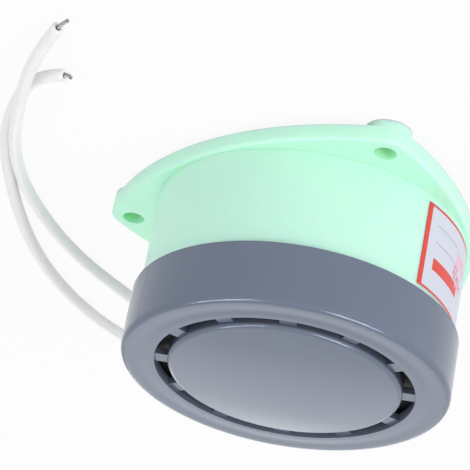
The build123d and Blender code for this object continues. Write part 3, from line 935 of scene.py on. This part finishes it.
class BUZZER_OT_sounder(bpy.types.Operator):
    """Dress the sounder: its ring, the brass disc, the ceramic with its silver face, and the two links."""

    bl_idname = "buzzer.sounder"
    bl_label = "Sounder"

    def execute(self, context):
        colours = context.scene.buzzer_colours
        ring = moulded_plastic("ring_plastic", colours.ring, roughness=0.45, drift=0.08)
        dress("sounder_ring", ring)
        brass = metal("brass_sheet", BRASS, roughness=0.36, drift=0.08, grain=0.006)
        rolled = brass.noise(grain=0.0006, vector=brass.stretched((1.0, 0.05, 1.0)))
        brass.join(brass.span(rolled, 0.3, 0.42), "Roughness")
        brass.bump(rolled, depth=0.000004, strength=0.4)
        dress("brass_disc", brass)
        silver = metal("silver_face", SILVER, roughness=0.42, drift=0.06, grain=0.002, metallic=0.7)
        silver.bump(silver.noise(grain=0.0004), depth=0.000006, strength=0.5)
        dress("piezo_ceramic", silver)
        dress("sounder_links", tinned_wire("link_wire"))
        return {"FINISHED"}


class BUZZER_OT_board(bpy.types.Operator):
    """Dress the circuit board, its screws, the solder joints and the leads' terminals."""

    bl_idname = "buzzer.board"
    bl_label = "Circuit board"

    def execute(self, context):
        lacquer = context.scene.buzzer_colours.board
        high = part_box("circuit_board")[1]
        board = Finish("board_lacquer", lacquer, roughness=0.3)
        weave = board.math("MULTIPLY", board.waves(WEAVE_SCALE, "X"), board.waves(WEAVE_SCALE, "Y"))
        woven = board.blend(weave, lacquer, tuple(v * WEAVE_LIFT for v in lacquer))
        inner = board.math("LESS_THAN", board.radius(), high.x - RIM_W)
        board.join(board.blend(inner, BARE_RIM, woven), "Base Color")
        board.bump(weave, depth=0.00001, strength=0.5)
        dress("circuit_board", board)
        steel = metal("screw_steel", STEEL, roughness=0.3, drift=0.06, grain=0.001)
        shank = steel.math("LESS_THAN", steel.axis("Z"), high.z)
        steel.bump(steel.math("MULTIPLY", steel.waves(THREAD_SCALE, "Z"), shank), THREAD_DEPTH, strength=0.8)
        dress("board_screws", steel)
        solder = metal("solder", SOLDER, roughness=0.34, drift=0.07, grain=0.0008)
        solder.rub(0.29, 0.42, grain=0.0009)
        dress("solder_joints", solder)
        dress("lead_terminals", tinned_wire("terminal_wire"))
        return {"FINISHED"}


class BUZZER_OT_board_parts(bpy.types.Operator):
    """Dress the parts that stand on the board."""

    bl_idname = "buzzer.board_parts"
    bl_label = "Board parts"

    def execute(self, context):
        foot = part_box("circuit_board")[1].z + LEG
        ferrite = Finish("ferrite", FERRITE, roughness=0.62)
        pinned(ferrite, FERRITE, foot, TINNED)
        ferrite.bump(ferrite.noise(grain=0.0003), depth=0.00003, strength=0.6)
        dress("drum_core", ferrite)

        copper = Finish("enamelled_copper", COPPER, roughness=0.26, metallic=1.0)
        turns = copper.waves(COIL_SCALE, "Z")
        # painted shade in the troughs between the coil's turns, painted highlight on their crests
        copper.join(copper.blend(turns, COPPER_TROUGH_SHADE, COPPER_CREST_HIGHLIGHT), "Base Color")
        copper.bump(turns, COIL_DEPTH)
        dress("coil_winding", copper)

        sleeve = Finish("can_sleeve", CAN, roughness=0.34)
        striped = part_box("electrolytic_capacitor")[0].x + STRIPE_W
        stripe = sleeve.math("LESS_THAN", sleeve.axis("X"), striped)
        pinned(sleeve, sleeve.blend(stripe, CAN, CAN_STRIPE), foot, CAN_PIN)
        dress("electrolytic_capacitor", sleeve)

        block = Finish("film_block", BLOCK, roughness=0.3)
        pinned(block, BLOCK, foot, TINNED)
        block.bump(block.noise(grain=0.0011, detail=2.0), depth=0.00002, strength=0.5)
        dress("film_capacitor", block)

        coat = Finish("blue_coating", COATING, roughness=0.33)
        pinned(coat, COATING, foot + STOPPER_LEG, TINNED)
        coat.bump(coat.noise(grain=0.0013, detail=2.0), depth=0.00007, strength=0.6)
        dress("surge_stopper", coat)

        resin = Finish("black_resin", RESIN, roughness=0.5)
        pinned(resin, RESIN, foot + TRANSISTOR_LEG, TINNED)
        resin.bump(resin.noise(grain=0.0002), depth=0.000012, strength=0.6)
        dress("transistor", resin)

        self.dress_axial("rectifier_diodes", DIODE_LENGTH, DIODE_BANDS)
        self.dress_axial("resistors", RESISTOR_LENGTH, RESISTOR_BANDS)
        return {"FINISHED"}

    def dress_axial(self, node_name, length, stops):
        """Bodies that lie along X with bands of colour, between tinned wires."""
        low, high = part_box(node_name)
        middle = (low.x + high.x) / 2
        finish = Finish(node_name, stops[0][1], roughness=0.36)
        along = finish.span(finish.axis("X"), 0.0, 1.0, middle - length / 2, middle + length / 2)
        away = finish.math("ABSOLUTE", finish.math("SUBTRACT", finish.axis("X"), middle))
        body = finish.math("LESS_THAN", away, length / 2 + BODY_SPARE)
        finish.join(finish.blend(body, TINNED, finish.bands(along, stops)), "Base Color")
        finish.join(finish.math("SUBTRACT", 1.0, body), "Metallic")
        finish.bump(finish.noise(grain=0.0004, detail=2.0), depth=0.00001, strength=0.4)
        dress(node_name, finish)


# ---------------------------------------------------------------- stage


def softbox(name, power, azimuth, elevation, distance, width, height):
    """Rectangular lamp that faces the buzzer, and that the camera doesn't see."""
    lamp = bpy.data.lights.new(name, "AREA")
    lamp.shape = "RECTANGLE"
    lamp.size, lamp.size_y = width, height
    lamp.energy = power
    holder = bpy.data.objects.new(name, lamp)
    bpy.context.scene.collection.objects.link(holder)
    way = direction(azimuth, elevation)
    holder.location = Vector(LAMP_TARGET) + way * distance
    holder.rotation_mode = "QUATERNION"
    holder.rotation_quaternion = way.to_track_quat("Z", "Y")
    holder.visible_camera = False
    return holder


class BUZZER_OT_stage(bpy.types.Operator):
    """Set up the camera, the pale floor, the softboxes and the white surroundings."""

    bl_idname = "buzzer.stage"
    bl_label = "Stage"

    def execute(self, context):
        stage, colours = context.scene.buzzer_stage, context.scene.buzzer_colours
        self.camera(context.scene, stage.lens)
        self.floor(context.scene, stage.floor_size, colours.floor)
        self.surroundings(context.scene, stage.sky)
        for name, power, azimuth, elevation, distance, width, height, matt, glossy in LAMPS:
            lamp = softbox(name, getattr(stage, power), azimuth, elevation, distance, width, height)
            lamp.visible_diffuse, lamp.visible_glossy = matt, glossy
        context.scene.view_settings.view_transform = "Standard"
        return {"FINISHED"}

    def camera(self, scene, lens):
        """Camera that looks down at the near side, turned over so that the grille is low in the view."""
        camera = bpy.data.cameras.new("camera")
        camera.lens = lens
        camera.sensor_width = 36.0
        camera.clip_start, camera.clip_end = 0.01, 20.0
        holder = bpy.data.objects.new("camera", camera)
        scene.collection.objects.link(holder)
        forward, right = Vector(CAMERA_FORWARD).normalized(), Vector(CAMERA_RIGHT)
        right = (right - forward * right.dot(forward)).normalized()
        up = right.cross(forward)
        turn = Matrix((right, up, -forward)).transposed().to_4x4()
        holder.matrix_world = Matrix.Translation(CAMERA_SPOT) @ turn
        scene.camera = holder

    def floor(self, scene, size, colour):
        """Pale floor that shows white to the eye and in reflections, and keeps a soft shadow."""
        mesh = bmesh.new()
        bmesh.ops.create_grid(mesh, x_segments=1, y_segments=1, size=size / 2)
        floor = bpy.data.objects.new("floor", finished_mesh("floor", mesh, smooth=False))
        scene.collection.objects.link(floor)
        material = bpy.data.materials.new("pale_floor")
        material.use_nodes = True
        nodes, links = material.node_tree.nodes, material.node_tree.links
        nodes.clear()
        matt, white = nodes.new("ShaderNodeBsdfDiffuse"), nodes.new("ShaderNodeEmission")
        matt.inputs["Color"].default_value = (*colour, 1.0)
        share = nodes.new("ShaderNodeMath")
        share.operation = "MULTIPLY"
        share.inputs[1].default_value = FLOOR_WHITE
        links.new(seen_rays(nodes, links), share.inputs[0])
        mix = mixed(nodes, links, share.outputs[0], matt, white)
        links.new(mix.outputs[0], nodes.new("ShaderNodeOutputMaterial").inputs[0])
        floor.data.materials.append(material)

    def surroundings(self, scene, strength):
        """World that lights evenly, and shows white to the eye and in reflections."""
        world = bpy.data.worlds.new("surroundings")
        world.use_nodes = True
        nodes, links = world.node_tree.nodes, world.node_tree.links
        nodes.clear()
        even, white = nodes.new("ShaderNodeBackground"), nodes.new("ShaderNodeBackground")
        for light, power in ((even, strength), (white, 1.0)):
            light.inputs["Color"].default_value = (1.0, 1.0, 1.0, 1.0)
            light.inputs["Strength"].default_value = power
        mix = mixed(nodes, links, seen_rays(nodes, links), even, white)
        links.new(mix.outputs[0], nodes.new("ShaderNodeOutputWorld").inputs[0])
        scene.world = world


def mixed(nodes, links, factor, first, second):
    """Mix of two shaders."""
    mix = nodes.new("ShaderNodeMixShader")
    for socket, output in zip(mix.inputs, (factor, first.outputs[0], second.outputs[0])):
        links.new(output, socket)
    return mix


def seen_rays(nodes, links):
    """Output that is one for rays from the eye, from gloss and through glass."""
    path = nodes.new("ShaderNodeLightPath")
    seen = path.outputs["Is Camera Ray"]
    for other in ("Is Glossy Ray", "Is Transmission Ray"):
        larger = nodes.new("ShaderNodeMath")
        larger.operation = "MAXIMUM"
        links.new(seen, larger.inputs[0])
        links.new(path.outputs[other], larger.inputs[1])
        seen = larger.outputs[0]
    return seen


OPERATORS = (
    BUZZER_OT_stage,
    BUZZER_OT_leads,
    BUZZER_OT_housing,
    BUZZER_OT_cap,
    BUZZER_OT_label,
    BUZZER_OT_sounder,
    BUZZER_OT_board,
    BUZZER_OT_board_parts,
)


class BUZZER_PT_sidebar(bpy.types.Panel):
    """Pieces of the buzzer, with the sizes and colours that they are made from."""

    bl_label = "Buzzer"
    bl_idname = "BUZZER_PT_sidebar"
    bl_space_type = "VIEW_3D"
    bl_region_type = "UI"
    bl_category = "Buzzer"

    def draw(self, context):
        for operator in OPERATORS:
            self.layout.operator(operator.bl_idname)
        for group_name in GROUPS:
            group = getattr(context.scene, group_name)
            box = self.layout.box()
            for name in group.__annotations__:
                box.prop(group, name)


GROUPS = {
    "buzzer_colours": BuzzerColours,
    "buzzer_leads": BuzzerLeads,
    "buzzer_label": BuzzerLabel,
    "buzzer_stage": BuzzerStage,
}


def register():
    """Registers the groups, the operators and the panel."""
    for name, group in GROUPS.items():
        bpy.utils.register_class(group)
        setattr(bpy.types.Scene, name, PointerProperty(type=group))
    for listed in (*OPERATORS, BUZZER_PT_sidebar):
        bpy.utils.register_class(listed)


def unregister():
    """Takes away what register added."""
    for listed in reversed((*OPERATORS, BUZZER_PT_sidebar)):
        bpy.utils.unregister_class(listed)
    for name, group in reversed(GROUPS.items()):
        delattr(bpy.types.Scene, name)
        bpy.utils.unregister_class(group)


def main():
    """Builds every piece in order."""
    register()
    for operator in OPERATORS:
        area, name = operator.bl_idname.split(".")
        getattr(getattr(bpy.ops, area), name)()


if __name__ == "__main__":
    main()
